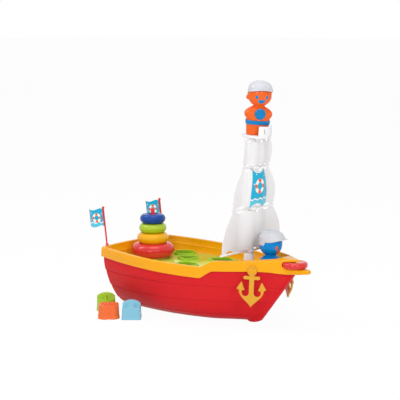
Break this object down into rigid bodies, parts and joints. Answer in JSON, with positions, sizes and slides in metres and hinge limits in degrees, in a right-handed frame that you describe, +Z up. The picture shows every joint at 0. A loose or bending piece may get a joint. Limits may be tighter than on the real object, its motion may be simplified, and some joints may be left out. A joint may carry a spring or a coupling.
{
  "type": "toy sailing boat",
  "caption": "Moulded plastic play boat with a sorter deck, a ring stack, a mast with turning sails, two sailors, flags, anchors, a bow disc and loose sorter blocks.",
  "frame": {"origin": "on the hull's flat underside, on the centre line, midway between the stern rim and the tip of the bow lip", "axes": "+X to the bow, +Y to port, +Z up"},
  "size_m": [0.6568, 0.3964, 0.6034],
  "materials": {
    "red_plastic": "moulded gloss",
    "yellow_plastic": "moulded gloss",
    "lime_plastic": "moulded gloss",
    "deep_blue_plastic": "moulded gloss",
    "white_plastic": "moulded satin gloss",
    "orange_plastic": "moulded gloss",
    "bright_blue_plastic": "moulded gloss",
    "blue_plastic": "moulded gloss",
    "turquoise_print": "printed film on a stiff sheet",
    "tangerine_plastic": "moulded satin gloss",
    "sky_plastic": "moulded satin gloss"
  },
  "bodies": {
    "boat": {"hull": "red_plastic", "gunwale_tub": "yellow_plastic", "mast": "white_plastic", "crows_nest": "white_plastic", "bow_disc_pin": "yellow_plastic", "anchor_peg_starboard": "yellow_plastic", "anchor_peg_port": "yellow_plastic"},
    "deck": {"sorter_deck": "lime_plastic", "ring_spindle": "red_plastic"},
    "ring_1": {"ring_red": "red_plastic"},
    "ring_2": {"ring_yellow": "yellow_plastic"},
    "ring_3": {"ring_green": "lime_plastic"},
    "ring_4": {"ring_blue": "deep_blue_plastic"},
    "lower_sail": {"sail_lower": "white_plastic"},
    "middle_sail": {"sail_middle": "white_plastic"},
    "upper_sail": {"sail_top": "white_plastic"},
    "top_sailor": {"top_sailor_body": "orange_plastic", "top_sailor_cap": "white_plastic", "top_sailor_belt": "bright_blue_plastic", "top_sailor_chest_disc": "bright_blue_plastic"},
    "bow_sailor": {"bow_sailor_body": "blue_plastic", "bow_sailor_cap": "white_plastic", "bow_sailor_belt": "orange_plastic", "bow_sailor_chest_disc": "orange_plastic"},
    "starboard_flag": {"flag_pole_starboard": "red_plastic", "flag_starboard": "turquoise_print"},
    "port_flag": {"flag_pole_port": "red_plastic", "flag_port": "turquoise_print"},
    "starboard_anchor": {"anchor_starboard": "yellow_plastic"},
    "port_anchor": {"anchor_port": "yellow_plastic"},
    "disc": {"bow_disc": "red_plastic"},
    "round_block": {"block_round": "lime_plastic"},
    "clover_block": {"block_clover": "tangerine_plastic"},
    "square_block": {"block_square": "sky_plastic"}
  },
  "joints": [
    {"name": "deck_lift", "type": "slide", "parent": "boat", "child": "deck", "axis": [0, 0, 1], "range_m": [0, 0.06]},
    {"name": "ring_1_lift", "type": "slide", "parent": "deck", "child": "ring_1", "axis": [0, 0, 1], "range_m": [0, 0.15]},
    {"name": "ring_2_lift", "type": "slide", "parent": "ring_1", "child": "ring_2", "axis": [0, 0, 1], "range_m": [0, 0.1]},
    {"name": "ring_3_lift", "type": "slide", "parent": "ring_2", "child": "ring_3", "axis": [0, 0, 1], "range_m": [0, 0.07]},
    {"name": "ring_4_lift", "type": "slide", "parent": "ring_3", "child": "ring_4", "axis": [0, 0, 1], "range_m": [0, 0.06]},
    {"name": "lower_sail_turn", "type": "hinge", "parent": "boat", "child": "lower_sail", "pos_m": [0.1055, 0, 0.104], "axis": [0.0732, 0, 0.9973], "range_deg": [-8, 8]},
    {"name": "middle_sail_turn", "type": "hinge", "parent": "boat", "child": "middle_sail", "pos_m": [0.1055, 0, 0.104], "axis": [0.0732, 0, 0.9973], "range_deg": [-35, 35]},
    {"name": "upper_sail_turn", "type": "hinge", "parent": "boat", "child": "upper_sail", "pos_m": [0.1055, 0, 0.104], "axis": [0.0732, 0, 0.9973], "range_deg": [-35, 35]},
    {"name": "top_sailor_lift", "type": "slide", "parent": "boat", "child": "top_sailor", "axis": [0.0732, 0, 0.9973], "range_m": [0, 0.05]},
    {"name": "bow_sailor_lift", "type": "slide", "parent": "boat", "child": "bow_sailor", "axis": [0, 0, 1], "range_m": [0, 0.05]},
    {"name": "starboard_flag_turn", "type": "hinge", "parent": "boat", "child": "starboard_flag", "pos_m": [-0.2865, -0.107, 0.1598], "axis": [-0.1392, 0, 0.9903], "continuous": true},
    {"name": "port_flag_turn", "type": "hinge", "parent": "boat", "child": "port_flag", "pos_m": [-0.2865, 0.107, 0.1598], "axis": [-0.1392, 0, 0.9903], "continuous": true},
    {"name": "starboard_anchor_swing", "type": "hinge", "parent": "boat", "child": "starboard_anchor", "pos_m": [0.178, -0.0682, 0.147], "axis": [0.5359, -0.8443, 0], "range_deg": [-40, 40]},
    {"name": "port_anchor_swing", "type": "hinge", "parent": "boat", "child": "port_anchor", "pos_m": [0.178, 0.0682, 0.147], "axis": [0.5359, 0.8443, 0], "range_deg": [-40, 40]},
    {"name": "disc_spin", "type": "hinge", "parent": "boat", "child": "disc", "pos_m": [0.254, 0, 0.162], "axis": [0, 0, 1], "continuous": true},
    {"name": "round_block_lift", "type": "slide", "parent": "boat", "child": "round_block", "axis": [0, 0, 1], "range_m": [0, 0.05]},
    {"name": "clover_block_lift", "type": "slide", "parent": "boat", "child": "clover_block", "axis": [0, 0, 1], "range_m": [0, 0.05]},
    {"name": "square_block_lift", "type": "slide", "parent": "boat", "child": "square_block", "axis": [0, 0, 1], "range_m": [0, 0.05]}
  ]
}
